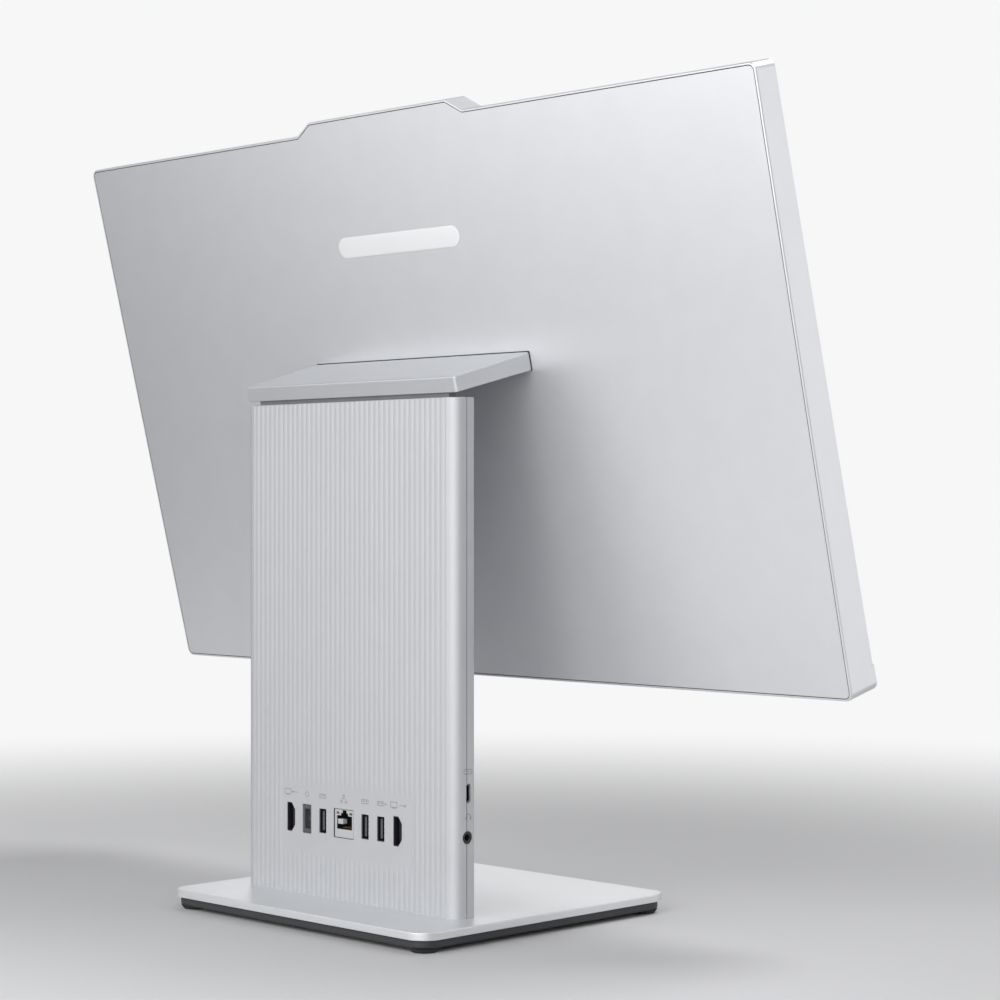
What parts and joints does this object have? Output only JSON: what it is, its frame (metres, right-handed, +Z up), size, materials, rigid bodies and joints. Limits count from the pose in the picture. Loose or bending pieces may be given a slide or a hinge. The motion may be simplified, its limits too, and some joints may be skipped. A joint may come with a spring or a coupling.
{
  "type": "all in one computer",
  "caption": "All-in-one desktop computer with a thin tilting display head, a ribbed column stand with rear sockets and a flat foot.",
  "frame": {"origin": "centre of the foot's outline, on the desk", "axes": "+X to the right of a person facing the screen, +Y behind the machine, +Z up"},
  "size_m": [0.541, 0.191, 0.4531],
  "materials": {
    "silver_shell": "fine metallic silver paint",
    "column_shell": "fine metallic silver paint over moulded ribs",
    "foot_plate": "fine silver powder coat",
    "neck_metal": "satin",
    "dark_plastic": "fine moulded grain",
    "neck_plastic": "fine moulded grain",
    "rubber_pads": "matt",
    "ballast_steel": "raw",
    "steel_sheet": "zinc plated",
    "hinge_steel": "oiled",
    "screws": "nickel plated",
    "circuit_board": "solder mask",
    "port_black": "moulded insulator",
    "port_grey": "moulded insulator",
    "port_light": "moulded frame",
    "port_steel": "nickel plated",
    "ribbon": "flat cable",
    "badge": "polished",
    "panel_back": "satin",
    "screen": "anti-glare black",
    "black_border": "fine grain",
    "lens": "coated",
    "brass_parts": "plated",
    "copper": "copper",
    "fins": "stamped",
    "black_plastic": "moulded",
    "cell": "polished",
    "shutter_red": "moulded",
    "button_grey": "painted"
  },
  "bodies": {
    "stand": {"foot_plate": "foot_plate", "foot_skirt": "dark_plastic", "foot_ballast": "ballast_steel", "foot_pads": "rubber_pads", "foot_screws": "screws", "column_frame": "steel_sheet", "column_rear_cover": "column_shell", "column_front_cover": "column_shell", "column_screws": "screws", "io_board": "circuit_board", "hdmi_in_port": "port_black", "power_inlet": "port_grey", "usb_port_left": "port_black", "ethernet_port": "port_light", "usb_port_middle": "port_black", "usb_port_right": "port_black", "hdmi_out_port": "port_black", "usb_c_port": "port_steel", "audio_jack": "port_black", "column_harness": "ribbon", "hinge_knuckle_left": "hinge_steel", "hinge_knuckle_right": "hinge_steel", "hinge_screws": "screws"},
    "display_head": {"hinge_pin_left": "hinge_steel", "hinge_pin_right": "hinge_steel", "hinge_washers": "hinge_steel", "hinge_nuts": "hinge_steel", "hinge_arm": "steel_sheet", "neck_cover": "neck_metal", "neck_underside": "neck_plastic", "arm_screws": "screws", "head_harness": "ribbon", "rear_cover": "silver_shell", "nameplate": "badge", "side_frame": "silver_shell", "head_chassis": "steel_sheet", "screen_module": "panel_back", "screen_glass": "screen", "front_bezel": "black_border", "chin_cover": "silver_shell", "camera_module": "circuit_board", "camera_lens": "lens", "microphones": "brass_parts", "mainboard": "circuit_board", "cold_plate": "copper", "heat_pipe": "copper", "fin_stack": "fins", "blower_housing": "black_plastic", "memory_modules": "circuit_board", "solid_state_drive": "circuit_board", "wireless_card": "circuit_board", "coin_cell": "cell", "speaker_left": "black_plastic", "speaker_right": "black_plastic", "antennas": "brass_parts", "button_board": "circuit_board"},
    "fan_rotor": {"fan_rotor": "black_plastic"},
    "privacy_shutter": {"privacy_shutter": "shutter_red"},
    "power_button": {"power_button": "button_grey"},
    "input_button": {"input_button": "button_grey"}
  },
  "joints": [
    {"name": "head_tilt", "type": "hinge", "parent": "stand", "child": "display_head", "pos_m": [0, 0.04682, 0.2816], "axis": [-1, 0, 0], "range_deg": [-19, 6]},
    {"name": "fan_spin", "type": "hinge", "parent": "display_head", "child": "fan_rotor", "pos_m": [-0.16, -0.03406, 0.21641], "axis": [0, 0.9659, -0.2588], "continuous": true},
    {"name": "shutter_slide", "type": "slide", "parent": "display_head", "child": "privacy_shutter", "axis": [-1, 0, 0], "range_m": [0, 0.008]},
    {"name": "power_press", "type": "slide", "parent": "display_head", "child": "power_button", "axis": [0, 0.2419, 0.9703], "range_m": [0, 0.0008], "stiffness_N_per_m": 800, "springref_m": -0.0005},
    {"name": "input_press", "type": "slide", "parent": "display_head", "child": "input_button", "axis": [0, 0.2419, 0.9703], "range_m": [0, 0.0008], "stiffness_N_per_m": 800, "springref_m": -0.0005}
  ]
}
